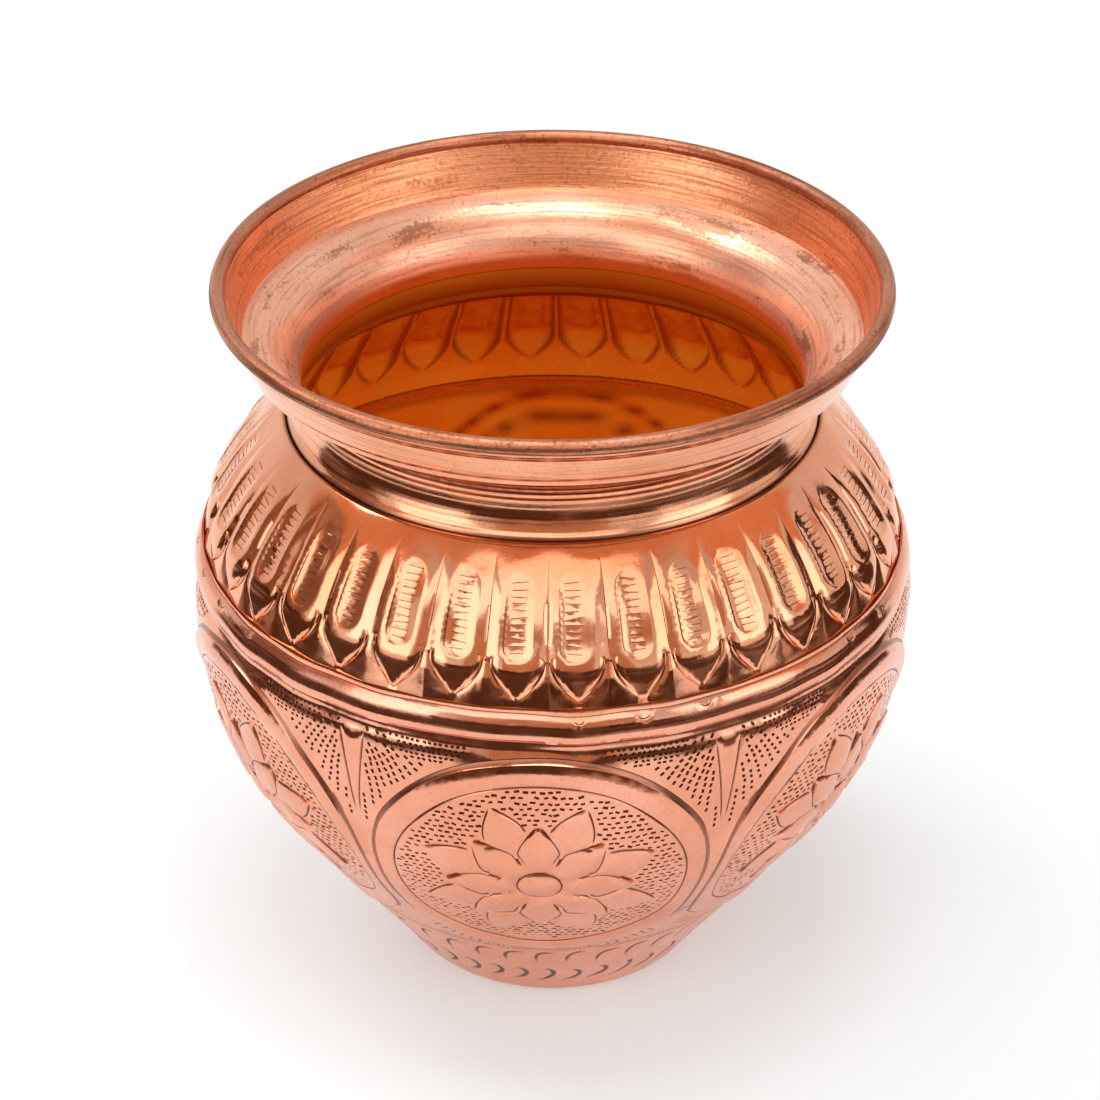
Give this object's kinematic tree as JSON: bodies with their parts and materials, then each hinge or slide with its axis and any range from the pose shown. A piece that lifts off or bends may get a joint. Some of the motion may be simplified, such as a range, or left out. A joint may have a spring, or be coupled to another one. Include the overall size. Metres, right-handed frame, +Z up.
{
  "type": "lota",
  "caption": "Round-bellied copper water pot with a flat base, drawn-in neck and wide flared mouth, chased with petals and medallions; holds and pours water.",
  "frame": {"origin": "centre of the flat base, on the surface that the pot stands on", "axes": "+Z up along the pot's axis, -Y towards the picture's front"},
  "size_m": [0.1076, 0.1086, 0.1125],
  "materials": {
    "body_copper": "polished copper sheet, chased and punched, with darker grooves",
    "neck_copper": "spun and brushed copper sheet with turned lines",
    "wire_copper": "drawn copper wire, dull",
    "braze_metal": "brazing alloy, satin"
  },
  "bodies": {
    "root": {"lower_bowl": "body_copper", "shoulder_shell": "body_copper", "neck_collar": "neck_copper", "rim_wire": "wire_copper", "belly_braze": "braze_metal", "neck_braze": "braze_metal"}
  },
  "joints": []
}
